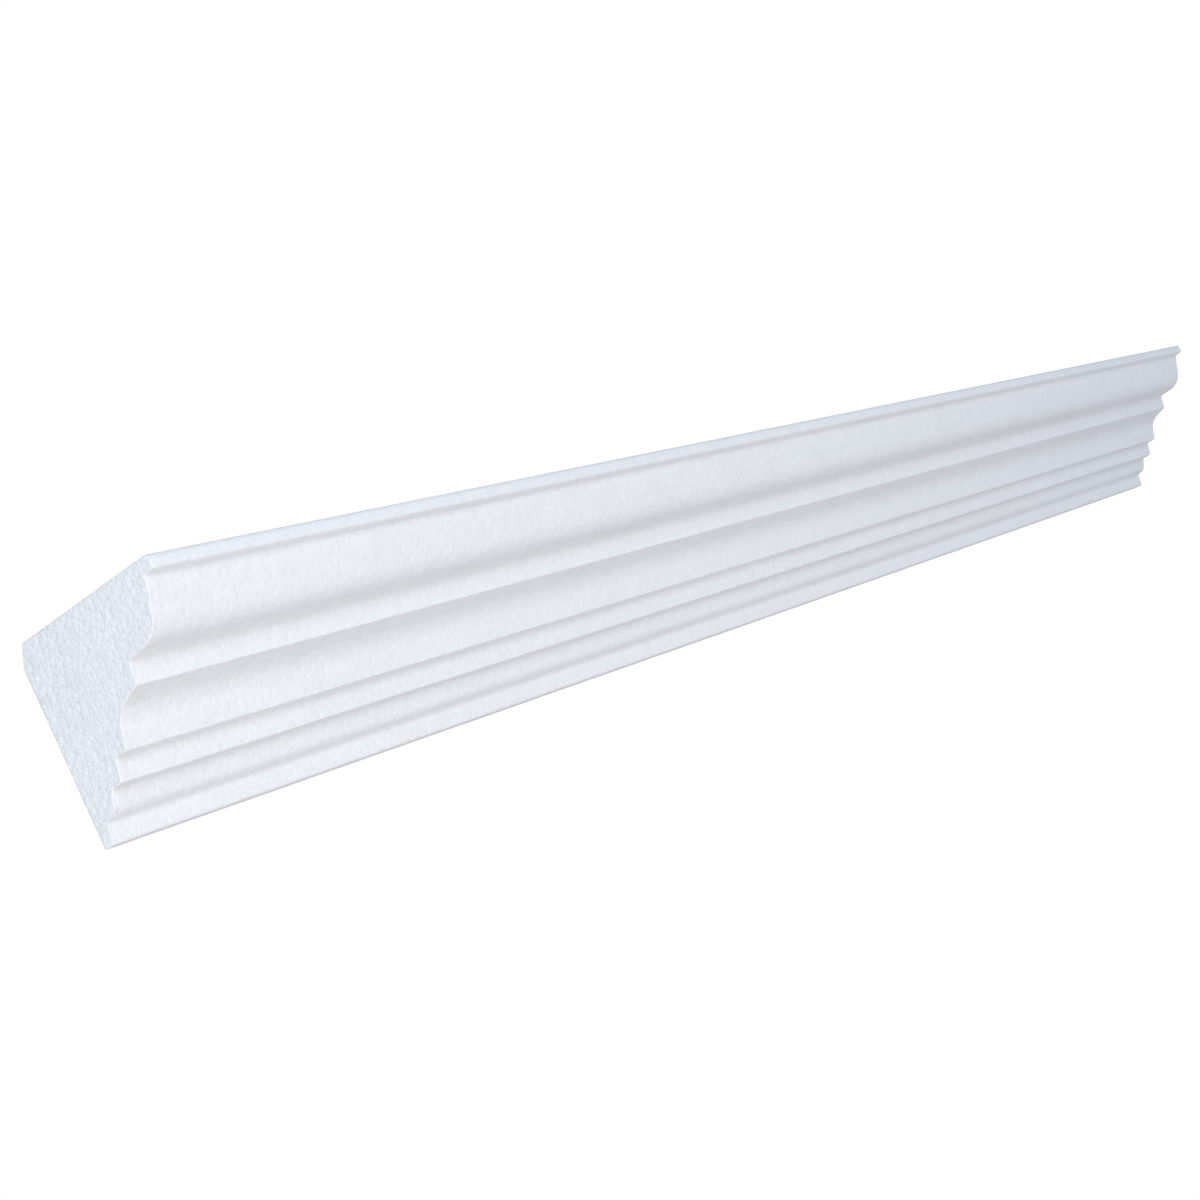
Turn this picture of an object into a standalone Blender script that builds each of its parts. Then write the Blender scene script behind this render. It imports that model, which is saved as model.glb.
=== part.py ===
"""A straight length of crown moulding in white expanded foam, cut square at both ends.

It is one solid. It fills the corner between a wall and a ceiling: its back is flat against the wall, its top
is flat against the ceiling, and its face steps down from the ceiling to the wall in a row of members: a round
lip, a large round member, a fascia, a cove, a band, a small round member and a foot.

Units are metres, with +Z up. The wall face lies in the plane Y = 0 and the face of the moulding looks along -Y.
X runs along the moulding. The origin is the centre of the flat wall face.
"""

import math

import bmesh
import bpy
from mathutils import Vector

LENGTH = 2.000

# The members of the face, from the ceiling down. A height is measured down the wall, a width out from the wall.
LIP_HEIGHT = 0.0110
LIP_WIDTH = 0.010
LIP_SPLAY = 0.0007
LIP_TOP_RADIUS = 0.0045
LIP_LOW_RADIUS = 0.003
OVOLO_HEIGHT = 0.0403
OVOLO_WIDTH = 0.0455
OVOLO_LEAN = 0.0145
OVOLO_SOFFIT_FALL = 0.003
FASCIA_HEIGHT = 0.0162
FASCIA_BATTER = 0.003
COVE_HEIGHT = 0.0328
COVE_WIDTH = 0.034
COVE_LEAN = 0.0085
COVE_SOFFIT_FALL = 0.0085
COVE_RADIUS = 0.030
BAND_STEP = 0.0118
BAND_SPLAY = 0.0005
BAND_HEIGHT = 0.0158
BAND_BATTER = 0.0042
BEAD_STEP = 0.0115
BEAD_SPLAY = 0.0005
BEAD_HEIGHT = 0.017
BEAD_WIDTH = 0.018
BEAD_LEAN = 0.007
BEAD_SOFFIT_FALL = 0.0025
BEAD_RADIUS = 0.011
FOOT_HEIGHT = 0.0152
FOOT_BATTER = 0.002
FOOT_THICKNESS = 0.010

# The relief cut off the hidden corner between the wall face and the ceiling face, which clears the old plaster.
RELIEF_ON_CEILING = 0.009
RELIEF_ON_WALL = 0.0155

# How far the arrises and the inner corners of the foam are rounded. The corners under the two round members
# are softer than the other inner corners.
ARRIS_RADIUS = 0.0010
INNER_RADIUS = 0.0009
SOFT_INNER_RADIUS = 0.0035
FOOT_RADIUS = 0.0025

# How many straight steps stand for each arc, and the most of a short side that one corner's arc may take.
# A corner with no radius of its own is as round as its sides allow.
CORNER_STEPS = 3
NOSE_STEPS = 8
CURVE_STEPS = 16
MOST_OF_A_SIDE = 0.45
AS_ROUND_AS_FITS = math.inf

FOAM_COLOUR = (0.87, 0.89, 0.92, 1.0)
FOAM_ROUGHNESS = 0.62

# Faces that meet at more than this are shaded with a sharp edge.
SHARP_ANGLE = math.radians(35)


def round_corner(before, corner, after, radius, steps):
    """The points of an arc of this radius that replaces a corner, shortened where the sides are too short."""
    to_before = Vector(before) - Vector(corner)
    to_after = Vector(after) - Vector(corner)
    half = to_before.angle(to_after) / 2
    room = MOST_OF_A_SIDE * min(to_before.length, to_after.length)
    trim = min(radius / math.tan(half), room)
    centre = Vector(corner) + (to_before.normalized() + to_after.normalized()).normalized() * trim / math.cos(half)
    start = Vector(corner) + to_before.normalized() * trim - centre
    end = Vector(corner) + to_after.normalized() * trim - centre
    turn = start.angle_signed(end)
    points = []
    for step in range(steps + 1):
        angle = turn * step / steps
        cosine, sine = math.cos(angle), -math.sin(angle)
        arm = Vector((start.x * cosine - start.y * sine, start.x * sine + start.y * cosine))
        points.append(tuple(centre + arm))
    return points


def face_corners():
    """The corners of the face as (out from the wall, down from the ceiling), from the lip to the foot.

    The members are stacked from the foot outwards and from the ceiling downwards, so that the projection
    and the drop of the whole are the sums of the members.
    """
    foot_out = FOOT_THICKNESS
    bead_low_out = foot_out + FOOT_BATTER
    bead_out = bead_low_out + BEAD_WIDTH
    band_low_out = bead_out + BEAD_STEP
    band_out = band_low_out + BAND_BATTER
    cove_low_out = band_out + BAND_STEP
    cove_out = cove_low_out + COVE_WIDTH
    fascia_out = cove_out + FASCIA_BATTER
    ovolo_out = fascia_out + OVOLO_WIDTH
    lip_out = ovolo_out + LIP_WIDTH

    ovolo_top = LIP_HEIGHT + LIP_SPLAY
    fascia_top = ovolo_top + OVOLO_HEIGHT
    cove_top = fascia_top + FASCIA_HEIGHT
    cove_end = cove_top + COVE_HEIGHT
    band_top = cove_end + BAND_SPLAY
    band_end = band_top + BAND_HEIGHT
    bead_top = band_end + BEAD_SPLAY
    foot_top = bead_top + BEAD_HEIGHT
    foot_end = foot_top + FOOT_HEIGHT
    return {
        "lip_top": (lip_out, 0.0),
        "lip_end": (lip_out, LIP_HEIGHT),
        "ovolo_top": (ovolo_out, ovolo_top),
        "ovolo_nose": (ovolo_out - OVOLO_LEAN, fascia_top - OVOLO_SOFFIT_FALL),
        "fascia_top": (fascia_out, fascia_top),
        "cove_top": (cove_out, cove_top),
        "cove_hollow": (cove_low_out + COVE_LEAN, cove_top + COVE_SOFFIT_FALL),
        "cove_end": (cove_low_out, cove_end),
        "band_top": (band_out, band_top),
        "band_end": (band_low_out, band_end),
        "bead_top": (bead_out, bead_top),
        "bead_nose": (bead_out - BEAD_LEAN, foot_top - BEAD_SOFFIT_FALL),
        "foot_top": (bead_low_out, foot_top),
        "foot_end": (foot_out, foot_end),
    }


def profile():
    """The closed outline of the moulding's section, as (out, down) points.

    Each corner of the section has a radius that rounds it and the steps of that rounding. The large radii
    make the quarter rounds and the cove.
    """
    at = face_corners()
    drop = at["foot_end"][1]
    corners = [
        ((0.0, RELIEF_ON_WALL), ARRIS_RADIUS, CORNER_STEPS),
        ((RELIEF_ON_CEILING, 0.0), ARRIS_RADIUS, CORNER_STEPS),
        (at["lip_top"], LIP_TOP_RADIUS, NOSE_STEPS),
        (at["lip_end"], LIP_LOW_RADIUS, NOSE_STEPS),
        (at["ovolo_top"], INNER_RADIUS, CORNER_STEPS),
        (at["ovolo_nose"], AS_ROUND_AS_FITS, CURVE_STEPS),
        (at["fascia_top"], SOFT_INNER_RADIUS, CORNER_STEPS),
        (at["cove_top"], ARRIS_RADIUS, CORNER_STEPS),
        (at["cove_hollow"], COVE_RADIUS, CURVE_STEPS),
        (at["cove_end"], ARRIS_RADIUS, CORNER_STEPS),
        (at["band_top"], INNER_RADIUS, CORNER_STEPS),
        (at["band_end"], ARRIS_RADIUS, CORNER_STEPS),
        (at["bead_top"], INNER_RADIUS, CORNER_STEPS),
        (at["bead_nose"], BEAD_RADIUS, CURVE_STEPS),
        (at["foot_top"], SOFT_INNER_RADIUS, CORNER_STEPS),
        (at["foot_end"], FOOT_RADIUS, CORNER_STEPS),
        ((0.0, drop), ARRIS_RADIUS, CORNER_STEPS),
    ]
    outline = []
    for index, (corner, radius, steps) in enumerate(corners):
        before = corners[index - 1][0]
        after = corners[(index + 1) % len(corners)][0]
        outline += round_corner(before, corner, after, radius, steps)
    return outline


def wall_centre():
    """How far below the ceiling the centre of the flat wall face lies."""
    return (RELIEF_ON_WALL + face_corners()["foot_end"][1]) / 2


def foam():
    material = bpy.data.materials.new("white_foam")
    material.use_nodes = True
    shader = material.node_tree.nodes["Principled BSDF"]
    shader.inputs["Base Color"].default_value = FOAM_COLOUR
    shader.inputs["Roughness"].default_value = FOAM_ROUGHNESS
    shader.inputs["Metallic"].default_value = 0.0
    return material


def moulding():
    """Sweeps the section along X, from one square end to the other."""
    level = wall_centre()
    mesh = bpy.data.meshes.new("moulding")
    solid = bmesh.new()
    section = [solid.verts.new((-LENGTH / 2, -out, level - down)) for out, down in profile()]
    end = solid.faces.new(section)
    swept = bmesh.ops.extrude_face_region(solid, geom=[end], use_keep_orig=True)
    moved = [item for item in swept["geom"] if isinstance(item, bmesh.types.BMVert)]
    bmesh.ops.translate(solid, verts=moved, vec=(LENGTH, 0, 0))
    bmesh.ops.recalc_face_normals(solid, faces=solid.faces)
    solid.to_mesh(mesh)
    solid.free()
    mesh.shade_smooth()
    mesh.set_sharp_from_angle(angle=SHARP_ANGLE)
    mesh.materials.append(foam())
    piece = bpy.data.objects.new("moulding", mesh)
    bpy.context.scene.collection.objects.link(piece)
    return piece


def main():
    for old in list(bpy.data.objects):
        bpy.data.objects.remove(old)
    moulding()


main()
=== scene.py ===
"""The looks of a straight length of crown moulding in white expanded foam.

The moulding is one piece of fused foam beads. Its surface is swept here from the section of the frame's solid,
fine enough to carry the swell of the beads, and its material adds the beads' own pebbled grain.
Lengths are metres, with +Z up. The wall face lies in the plane Y = 0 and X runs along the moulding.
"""
import math

import bpy
import numpy as np
from mathutils import Matrix, Vector
from mathutils.geometry import delaunay_2d_cdt


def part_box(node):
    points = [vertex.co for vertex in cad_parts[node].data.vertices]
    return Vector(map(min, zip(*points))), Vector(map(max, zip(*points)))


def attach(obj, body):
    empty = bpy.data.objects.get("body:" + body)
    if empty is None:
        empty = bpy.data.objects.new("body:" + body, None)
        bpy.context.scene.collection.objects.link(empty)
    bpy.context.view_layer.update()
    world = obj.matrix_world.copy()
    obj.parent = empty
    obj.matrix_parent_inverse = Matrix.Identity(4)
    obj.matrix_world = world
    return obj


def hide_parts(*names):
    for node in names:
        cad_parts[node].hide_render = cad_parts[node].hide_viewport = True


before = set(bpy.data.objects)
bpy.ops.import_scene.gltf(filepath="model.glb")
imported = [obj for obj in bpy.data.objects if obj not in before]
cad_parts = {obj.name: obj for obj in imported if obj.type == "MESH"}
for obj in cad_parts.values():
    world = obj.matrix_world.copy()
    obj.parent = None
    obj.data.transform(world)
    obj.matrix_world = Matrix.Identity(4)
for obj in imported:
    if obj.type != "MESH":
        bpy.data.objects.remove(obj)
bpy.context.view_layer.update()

NODE = "moulding"

# The beads of the foam.
BEAD_SIZE = 0.0042
BEAD_SWELL = 0.00020
SWELL_ON_CUT = 0.00026
WAVE_SIZE = 0.045
WAVE_SWELL = 0.00018

# How finely the surface is cut up: round the moulded face, round its flat back, along it and on its two ends.
FACE_STEP = 0.0030
BACK_STEP = 0.0100
ALONG_STEP = 0.0055
END_GRID = 0.0021
FLAT_BACK = 0.0006
# A long side has a point this close to each of its ends, so that smooth shading leaves the side flat.
EDGE_GUARD = 0.0004
# The arris round each end, as (distance in from the end, how far the outline is drawn in).
END_ARRIS = ((0.0, 0.00030), (0.00012, 0.00012), (0.00040, 0.00003), (0.0010, 0.0))

# The foam's grain, with painted shade in the seams between beads and painted highlights on torn beads. A pair gives the
# amount on the moulded faces and on the cut ends.
BEAD_WANDER = 0.0030
GRAIN_SIZE = 0.0014
CELL_SIZE = 0.0024
CLOUD_SIZE = 0.030
BEAD_TONE = (0.018, 0.034)
GRAIN_TONE = (0.030, 0.075)
# Painted shade: how much darker the seams between beads are painted, as the shade in their hollows.
SEAM_PAINTED_SHADE = (0.014, 0.030)
CLOUD_TONE = 0.008
BUMP_DEPTH = (0.00024, 0.00046)
# The share of bead spots where a bead's skin was torn. These spots are painted lighter as a painted highlight.
PAINTED_HIGHLIGHT_SHARE = 0.075
FACE_COLOUR = (0.885, 0.895, 0.905, 1.0)
# The colour of the cut ends, darker and bluer than the faces: painted cool shade on the ends.
CUT_COLOUR_AND_PAINTED_SHADE = (0.865, 0.890, 0.915, 1.0)

# The photograph's camera.
CAMERA_PLACE = Vector((-1.9626, -1.1045, -0.2223))
CAMERA_AIM = Vector((-0.4562, -0.0750, -0.0154))
CAMERA_ROLL = math.radians(25.98)
CAMERA_LENS = 64.32
SENSOR = 36.0

FLOOR_LEVEL = -2.4
FLOOR_SIZE = 9.0


def node_outline(mesh):
    """The section of the swept solid, as (y, z) points in order, from the faces of its end at the lowest X."""
    end = min(vertex.co.x for vertex in mesh.vertices)
    uses = {}
    for polygon in mesh.polygons:
        corners = [mesh.vertices[index].co for index in polygon.vertices]
        if max(corner.x for corner in corners) > end + 1e-5:
            continue
        points = [(round(corner.y, 6), round(corner.z, 6)) for corner in corners]
        for first, second in zip(points, points[1:] + points[:1]):
            uses.setdefault(frozenset((first, second)), []).append((first, second))
    follows = dict(edges[0] for edges in uses.values() if len(edges) == 1)
    start = min(follows)
    outline = [start]
    while follows[outline[-1]] != start:
        outline.append(follows[outline[-1]])
    return np.array(outline)


def cut_finely(outline):
    """The outline with its long sides divided: finely on the moulded face, coarsely on the flat back."""
    top = outline[:, 1].max()
    points = []
    for first, second in zip(outline, np.roll(outline, -1, axis=0)):
        on_wall = max(first[0], second[0]) > -FLAT_BACK and min(first[0], second[0]) > -FLAT_BACK
        on_ceiling = min(first[1], second[1]) > top - FLAT_BACK
        length = np.linalg.norm(second - first)
        step = BACK_STEP if on_wall or on_ceiling else FACE_STEP
        count = max(1, math.ceil(length / step))
        shares = [share / count for share in range(count)]
        if length > FACE_STEP:
            shares += [EDGE_GUARD / length, 1 - EDGE_GUARD / length]
        points += [first + (second - first) * share for share in sorted(shares)]
    return np.array(points)


def outward(outline):
    """The unit normal at each point of the outline, pointing out of the section."""
    ahead = np.roll(outline, -1, axis=0) - outline
    behind = outline - np.roll(outline, 1, axis=0)
    ahead /= np.linalg.norm(ahead, axis=1, keepdims=True)
    behind /= np.linalg.norm(behind, axis=1, keepdims=True)
    along = ahead + behind
    along /= np.linalg.norm(along, axis=1, keepdims=True)
    area = np.sum(outline[:, 0] * np.roll(outline[:, 1], -1) - np.roll(outline[:, 0], -1) * outline[:, 1])
    turn = 1.0 if area > 0 else -1.0
    return np.stack([along[:, 1], -along[:, 0]], axis=1) * turn


def hashed(cells, seed):
    """A fixed random number from 0 to 1 for each row of whole numbers."""
    mixed = cells[..., 0] * 73856093 ^ cells[..., 1] * 19349663 ^ cells[..., 2] * 83492791 ^ seed * 2654435761
    mixed = (mixed ^ (mixed >> 13)) * 1274126177 & 0x7FFFFFFF
    return ((mixed ^ (mixed >> 16)) & 0xFFFFFF) / float(0xFFFFFF)


def bead_swell(points):
    """How far the surface swells at each point, from 0 in the seams between beads to 1 at a bead's middle."""
    scaled = points / BEAD_SIZE
    cell = np.floor(scaled).astype(np.int64)
    nearest = np.full(len(points), 9.0)
    second = np.full(len(points), 9.0)
    for dx in (-1, 0, 1):
        for dy in (-1, 0, 1):
            for dz in (-1, 0, 1):
                other = cell + np.array((dx, dy, dz))
                centre = other + np.stack([hashed(other, seed) for seed in (1, 2, 3)], axis=-1)
                gap = np.linalg.norm(scaled - centre, axis=1)
                second = np.where(gap < nearest, nearest, np.minimum(second, gap))
                nearest = np.minimum(nearest, gap)
    return np.clip((second - nearest) * 1.6, 0, 1)


def long_wave(points):
    """A slow unevenness of the surface, from -1 to 1."""
    scaled = points / WAVE_SIZE
    cell = np.floor(scaled).astype(np.int64)
    share = scaled - cell
    share = share * share * (3 - 2 * share)
    total = np.zeros(len(points))
    for dx in (0, 1):
        for dy in (0, 1):
            for dz in (0, 1):
                weight = np.abs(1 - dx - share[:, 0]) * np.abs(1 - dy - share[:, 1]) * np.abs(1 - dz - share[:, 2])
                total += weight * hashed(cell + np.array((dx, dy, dz)), 7)
    return total * 2 - 1


def end_faces(ring):
    """The triangles of a flat end: the ring's own points first, then a jittered grid of points inside it."""
    low, high = ring.min(axis=0), ring.max(axis=0)
    columns = int((high[0] - low[0]) / END_GRID)
    rows = int((high[1] - low[1]) / END_GRID)
    grid = []
    for column in range(1, columns):
        for row in range(1, rows):
            shift = hashed(np.array([[column, row, 0]]), 11)[0] - 0.5, hashed(np.array([[column, row, 1]]), 12)[0] - 0.5
            grid.append((low[0] + (column + 0.6 * shift[0]) * END_GRID, low[1] + (row + 0.6 * shift[1]) * END_GRID))
    grid = np.array(grid)
    kept = [point for point in grid[within(grid, ring)] if np.min(np.hypot(*(ring - point).T)) > 0.55 * END_GRID]
    corners = [Vector(point) for point in ring] + [Vector(point) for point in kept]
    edges = [(index, (index + 1) % len(ring)) for index in range(len(ring))]
    points, _, faces, _, _, _ = delaunay_2d_cdt(corners, edges, [list(range(len(ring)))], 1, 1e-9)
    return np.array([tuple(point) for point in points]), faces


def within(points, ring):
    """Which of the points lie inside the ring."""
    crossings = np.zeros(len(points), int)
    for first, second in zip(ring, np.roll(ring, -1, axis=0)):
        spans = (first[1] > points[:, 1]) != (second[1] > points[:, 1])
        rise = second[1] - first[1] if second[1] != first[1] else 1e-12
        meets = first[0] + (points[:, 1] - first[1]) / rise * (second[0] - first[0])
        crossings += spans & (points[:, 0] < meets)
    return crossings % 2 == 1


def swept_moulding():
    """The moulding's surface: rings of the section from end to end, and the two cut ends."""
    outline = cut_finely(node_outline(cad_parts[NODE].data))
    normals = outward(outline)
    low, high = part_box(NODE)
    length = high.x - low.x
    margin = END_ARRIS[-1][0]
    count = round((length - 2 * margin) / ALONG_STEP)
    inner = [(margin + (length - 2 * margin) * step / count, 0.0) for step in range(1, count)]
    stations = list(END_ARRIS) + inner + [(length - gap, drawn) for gap, drawn in reversed(END_ARRIS)]

    top = high.z
    back = np.minimum(np.minimum(-outline[:, 0], top - outline[:, 1]) / 0.002, 1.0)
    points = []
    for distance, drawn in stations:
        ring = outline - normals * drawn
        place = np.column_stack([np.full(len(ring), low.x + distance), ring])
        swell = (bead_swell(place) - 0.75) * BEAD_SWELL + long_wave(place) * WAVE_SWELL
        place[:, 1:] += normals * (swell * np.clip(back, 0.15, 1.0))[:, None]
        points.append(place)
    size = len(outline)
    faces = []
    for station in range(len(stations) - 1):
        first = station * size
        for index in range(size):
            following = (index + 1) % size
            faces.append((first + index, first + following, first + size + following, first + size + index))
    points = np.concatenate(points)

    for last, inward in ((0, 1.0), (len(stations) - 1, -1.0)):
        ring = points[last * size:(last + 1) * size]
        flat, triangles = end_faces(ring[:, 1:])
        added = np.column_stack([np.full(len(flat) - size, ring[0, 0]), flat[size:]])
        added[:, 0] += inward * (1.0 - bead_swell(added)) * SWELL_ON_CUT
        start = len(points)
        points = np.concatenate([points, added])
        numbers = [last * size + index for index in range(size)] + list(range(start, start + len(added)))
        faces += [tuple(numbers[index] for index in triangle) for triangle in triangles]

    mesh = bpy.data.meshes.new("foam_moulding")
    mesh.from_pydata(points.tolist(), [], faces)
    mesh.validate()
    piece = bpy.data.objects.new("foam_moulding", mesh)
    bpy.context.scene.collection.objects.link(piece)
    bpy.context.view_layer.objects.active = piece
    piece.select_set(True)
    bpy.ops.object.mode_set(mode="EDIT")
    bpy.ops.mesh.select_all(action="SELECT")
    bpy.ops.mesh.normals_make_consistent(inside=False)
    bpy.ops.object.mode_set(mode="OBJECT")
    mesh.shade_smooth()
    return piece


class Nodes:
    """A short way to add shader nodes and to join them."""

    def __init__(self, tree):
        self.tree = tree

    def add(self, kind, inputs=None, **settings):
        """Adds a node. An input is a value, or the output of another node."""
        made = self.tree.nodes.new(kind)
        for name, value in settings.items():
            setattr(made, name, value)
        for name, value in (inputs or {}).items():
            if isinstance(value, bpy.types.NodeSocket):
                self.tree.links.new(value, made.inputs[name])
            else:
                made.inputs[name].default_value = value
        return made

    def sum(self, operation, first, second, third=0.0):
        """The result of one sum on numbers."""
        return self.add("ShaderNodeMath", {0: first, 1: second, 2: third}, operation=operation).outputs[0]

    def spread(self, value, low, high, to_low=0.0, to_high=1.0, kind="SMOOTHSTEP"):
        """The value's range from low to high, drawn out over another range."""
        inputs = {"Value": value, "From Min": low, "From Max": high, "To Min": to_low, "To Max": to_high}
        return self.add("ShaderNodeMapRange", inputs, interpolation_type=kind).outputs["Result"]

    def blend(self, factor, first, second, kind="MIX"):
        """One colour over another."""
        made = self.add("ShaderNodeMix", data_type="RGBA", blend_type=kind)
        for socket, value in ((made.inputs["Factor"], factor), (made.inputs[6], first), (made.inputs[7], second)):
            if isinstance(value, bpy.types.NodeSocket):
                self.tree.links.new(value, socket)
            else:
                socket.default_value = value
        return made.outputs[2]


def foam():
    """White foam of fused beads.

    Each bead is a little lighter or darker than the next, and the seams between them are dull and painted darker as
    shade. The two cut ends show the beads' grain most and are painted a little darker and bluer as cool shade, with
    painted glints where a bead's skin was torn. The moulded faces are smoother.
    """
    material = bpy.data.materials.new("white_foam")
    material.use_nodes = True
    shader = material.node_tree.nodes["Principled BSDF"]
    nodes = Nodes(material.node_tree)
    place = nodes.add("ShaderNodeTexCoord")
    where = place.outputs["Object"]
    facing = nodes.add("ShaderNodeSeparateXYZ", {"Vector": place.outputs["Normal"]}).outputs["X"]
    cut = nodes.spread(nodes.sum("ABSOLUTE", facing, 0.0), 0.70, 0.92)

    wander = nodes.add("ShaderNodeTexNoise", {"Vector": where, "Scale": 330.0, "Detail": 2.0})
    push = nodes.add("ShaderNodeVectorMath", {0: wander.outputs["Color"], 1: (0.5, 0.5, 0.5)}, operation="SUBTRACT")
    shift = nodes.add("ShaderNodeVectorMath", {0: push.outputs["Vector"], "Scale": BEAD_WANDER}, operation="SCALE")
    crooked = nodes.add("ShaderNodeVectorMath", {0: where, 1: shift.outputs["Vector"]}, operation="ADD").outputs[0]

    edge = nodes.add("ShaderNodeTexVoronoi", {"Vector": crooked, "Scale": 1 / BEAD_SIZE}, feature="DISTANCE_TO_EDGE")
    bead = nodes.add("ShaderNodeTexVoronoi", {"Vector": crooked, "Scale": 1 / BEAD_SIZE})
    own = nodes.add("ShaderNodeSeparateColor", {"Color": bead.outputs["Color"]})
    dome = nodes.sum("MULTIPLY_ADD", nodes.sum("POWER", bead.outputs["Distance"], 2.0), -1.3, 1.0)
    grain = nodes.add("ShaderNodeTexNoise", {"Vector": where, "Scale": 1 / GRAIN_SIZE, "Detail": 3.0})
    cells = nodes.add("ShaderNodeTexVoronoi", {"Vector": where, "Scale": 1 / CELL_SIZE})
    cell = nodes.add("ShaderNodeSeparateColor", {"Color": cells.outputs["Color"]})
    cloud = nodes.add("ShaderNodeTexNoise", {"Vector": where, "Scale": 1 / CLOUD_SIZE, "Detail": 2.0})

    # Torn bead spots: really shinier and bumpier, and also painted lighter as a painted highlight.
    painted_highlight_spot = nodes.spread(cell.outputs["Red"], 1 - PAINTED_HIGHLIGHT_SHARE, 1 - PAINTED_HIGHLIGHT_SHARE + 0.01)
    painted_highlight_middle = nodes.spread(cells.outputs["Distance"], 0.25, 0.48, 1.0, 0.0)
    torn_skin_and_painted_highlight = nodes.sum("MULTIPLY", nodes.sum("MULTIPLY", painted_highlight_spot, painted_highlight_middle), nodes.spread(cut, 0, 1, 0.45, 1.0))

    own_tone = nodes.spread(own.outputs["Red"], 0, 1, -1, 1, "LINEAR")
    grain_tone = nodes.spread(grain.outputs["Fac"], 0.3, 0.7, -1, 1, "LINEAR")
    cloud_tone = nodes.spread(cloud.outputs["Fac"], 0.3, 0.7, -1, 1, "LINEAR")
    tone = nodes.sum("MULTIPLY", own_tone, nodes.spread(cut, 0, 1, BEAD_TONE[0], BEAD_TONE[1]))
    tone = nodes.sum("MULTIPLY_ADD", grain_tone, nodes.spread(cut, 0, 1, GRAIN_TONE[0], GRAIN_TONE[1]), tone)
    tone = nodes.sum("MULTIPLY_ADD", cloud_tone, CLOUD_TONE, tone)
    # The seams between beads are real and duller. Their darker colour is painted shade, standing in for the shade in
    # their hollows.
    seam = nodes.spread(edge.outputs["Distance"], 0.0, 0.22, 1.0, 0.0)
    seam_painted_shade = nodes.sum("MULTIPLY", seam, nodes.spread(cut, 0, 1, SEAM_PAINTED_SHADE[0], SEAM_PAINTED_SHADE[1]))
    tone = nodes.sum("SUBTRACT", nodes.sum("ADD", tone, 1.0), seam_painted_shade)
    # The torn bead spots are painted lighter: a painted highlight.
    tone = nodes.sum("MULTIPLY_ADD", torn_skin_and_painted_highlight, 0.10, tone)

    # The cut ends take a darker, bluer colour than the moulded faces: painted cool shade.
    skin = nodes.blend(cut, FACE_COLOUR, CUT_COLOUR_AND_PAINTED_SHADE)
    grey = nodes.add("ShaderNodeCombineColor", {"Red": tone, "Green": tone, "Blue": tone}).outputs["Color"]
    nodes.tree.links.new(nodes.blend(1.0, skin, grey, "MULTIPLY"), shader.inputs["Base Color"])

    dull = nodes.spread(own.outputs["Green"], 0, 1, 0.50, 0.72, "LINEAR")
    dull = nodes.sum("MULTIPLY_ADD", seam, 0.12, dull)
    dull = nodes.sum("MULTIPLY_ADD", torn_skin_and_painted_highlight, -0.30, dull)
    nodes.tree.links.new(dull, shader.inputs["Roughness"])

    height = nodes.sum("MULTIPLY_ADD", grain.outputs["Fac"], 0.9, dome)
    height = nodes.sum("MULTIPLY_ADD", torn_skin_and_painted_highlight, 0.8, height)
    depth = nodes.spread(cut, 0, 1, BUMP_DEPTH[0], BUMP_DEPTH[1])
    bump = nodes.add("ShaderNodeBump", {"Strength": 1.0, "Distance": depth, "Height": height})
    nodes.tree.links.new(bump.outputs["Normal"], shader.inputs["Normal"])
    return material


def floor():
    mesh = bpy.data.meshes.new("floor")
    side = FLOOR_SIZE / 2
    mesh.from_pydata([(-side, -side, 0), (side, -side, 0), (side, side, 0), (-side, side, 0)], [], [(0, 1, 2, 3)])
    plane = bpy.data.objects.new("floor", mesh)
    plane.location.z = FLOOR_LEVEL
    bpy.context.scene.collection.objects.link(plane)
    material = bpy.data.materials.new("pale_floor")
    material.use_nodes = True
    shader = material.node_tree.nodes["Principled BSDF"]
    shader.inputs["Base Color"].default_value = (0.92, 0.92, 0.92, 1.0)
    shader.inputs["Roughness"].default_value = 0.9
    mesh.materials.append(material)


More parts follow.
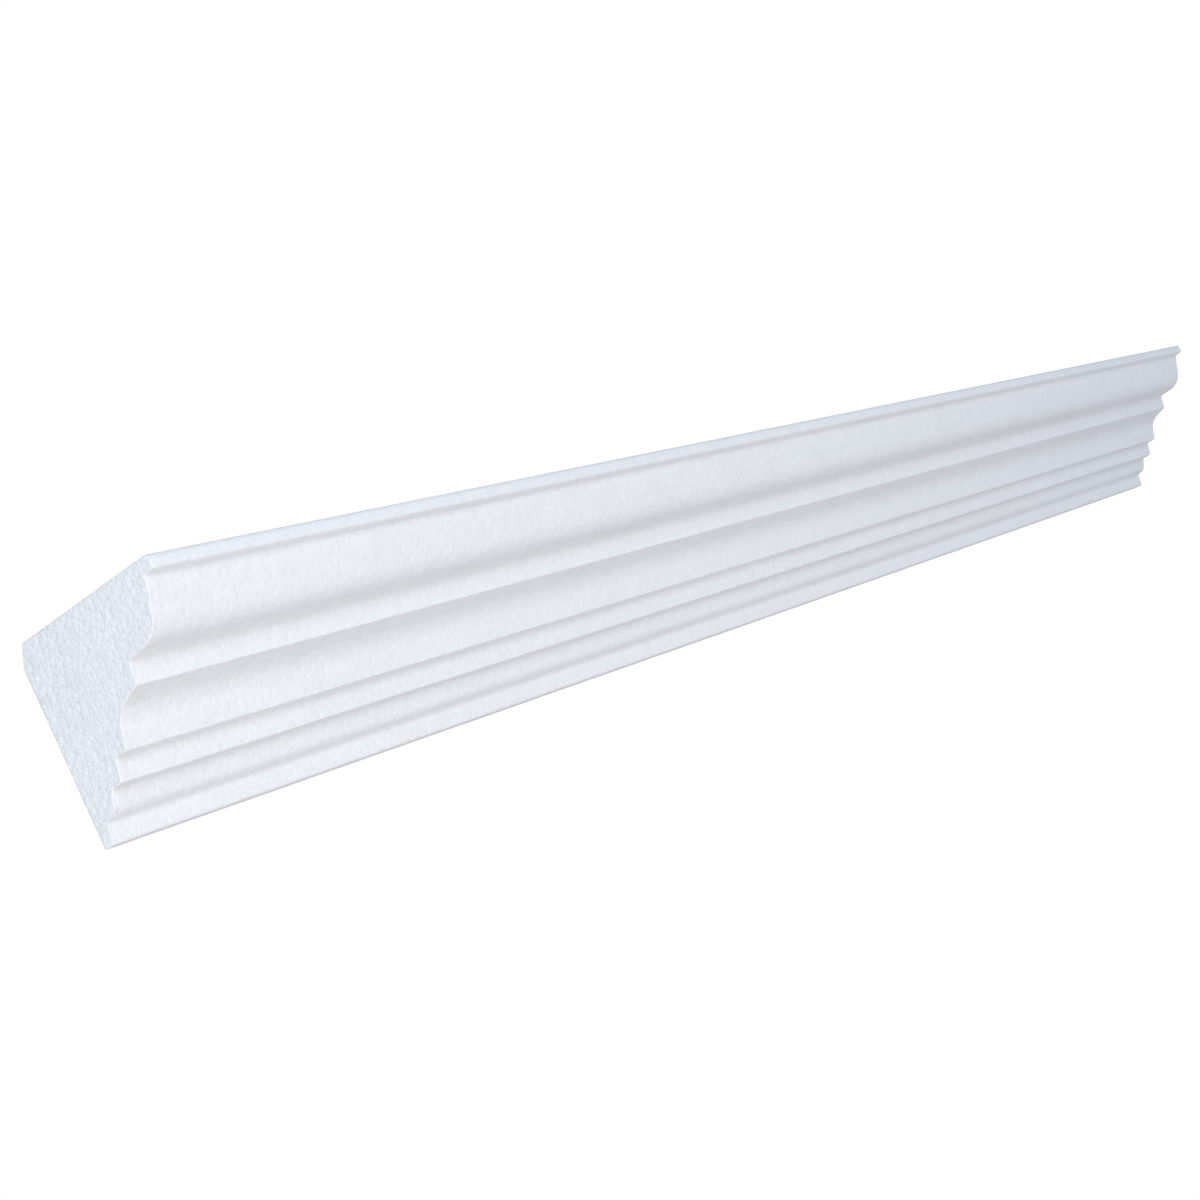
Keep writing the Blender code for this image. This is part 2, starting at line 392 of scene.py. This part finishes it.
def camera():
    data = bpy.data.cameras.new("camera")
    data.lens = CAMERA_LENS
    data.sensor_width = SENSOR
    data.clip_start = 0.01
    data.clip_end = 100.0
    seat = bpy.data.objects.new("camera", data)
    aim = (CAMERA_AIM - CAMERA_PLACE).to_track_quat("-Z", "Y").to_matrix().to_4x4()
    seat.matrix_world = Matrix.Translation(CAMERA_PLACE) @ aim @ Matrix.Rotation(-CAMERA_ROLL, 4, "Z")
    bpy.context.scene.collection.objects.link(seat)
    bpy.context.scene.camera = seat


def lamp(name, place, aim, size, power, colour):
    data = bpy.data.lights.new(name, "AREA")
    data.shape = "DISK"
    data.size = size
    data.energy = power
    data.color = colour
    light = bpy.data.objects.new(name, data)
    light.location = place
    light.rotation_euler = (Vector(aim) - Vector(place)).to_track_quat("-Z", "Y").to_euler()
    bpy.context.scene.collection.objects.link(light)


def studio():
    """A white surround that the camera sees as pure white, and one large soft lamp in front of the near end."""
    world = bpy.data.worlds.new("white_studio")
    bpy.context.scene.world = world
    world.use_nodes = True
    tree = world.node_tree
    fill = tree.nodes["Background"]
    fill.inputs["Color"].default_value = (0.793, 0.859, 1.0, 1.0)
    fill.inputs["Strength"].default_value = 0.508
    seen = tree.nodes.new("ShaderNodeBackground")
    seen.inputs["Color"].default_value = (1.0, 1.0, 1.0, 1.0)
    ray = tree.nodes.new("ShaderNodeLightPath")
    mix = tree.nodes.new("ShaderNodeMixShader")
    tree.links.new(ray.outputs["Is Camera Ray"], mix.inputs["Fac"])
    tree.links.new(fill.outputs["Background"], mix.inputs[1])
    tree.links.new(seen.outputs["Background"], mix.inputs[2])
    tree.links.new(mix.outputs["Shader"], tree.nodes["World Output"].inputs["Surface"])
    lamp("key", (-2.1, -2.4, 0.45), (-0.4, -0.08, 0.0), 1.8, 35.4, (0.934, 0.979, 1.0))
    lamp("low_fill", (-0.3, -1.6, -1.5), (0.0, -0.08, 0.0), 1.8, 8.0, (1.0, 0.692, 0.467))
    lamp("end_fill", (-2.6, -0.2, -0.7), (-1.0, -0.08, 0.0), 1.2, 11.8, (1.0, 0.969, 0.878))
    lamp("far_fill", (1.2, -2.2, 0.6), (0.6, -0.08, 0.0), 1.8, 6.7, (0.567, 0.907, 1.0))
    bpy.context.scene.view_settings.view_transform = "Standard"


camera()
studio()
floor()
piece = swept_moulding()
piece.data.materials.append(foam())
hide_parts(NODE)
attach(piece, "root")
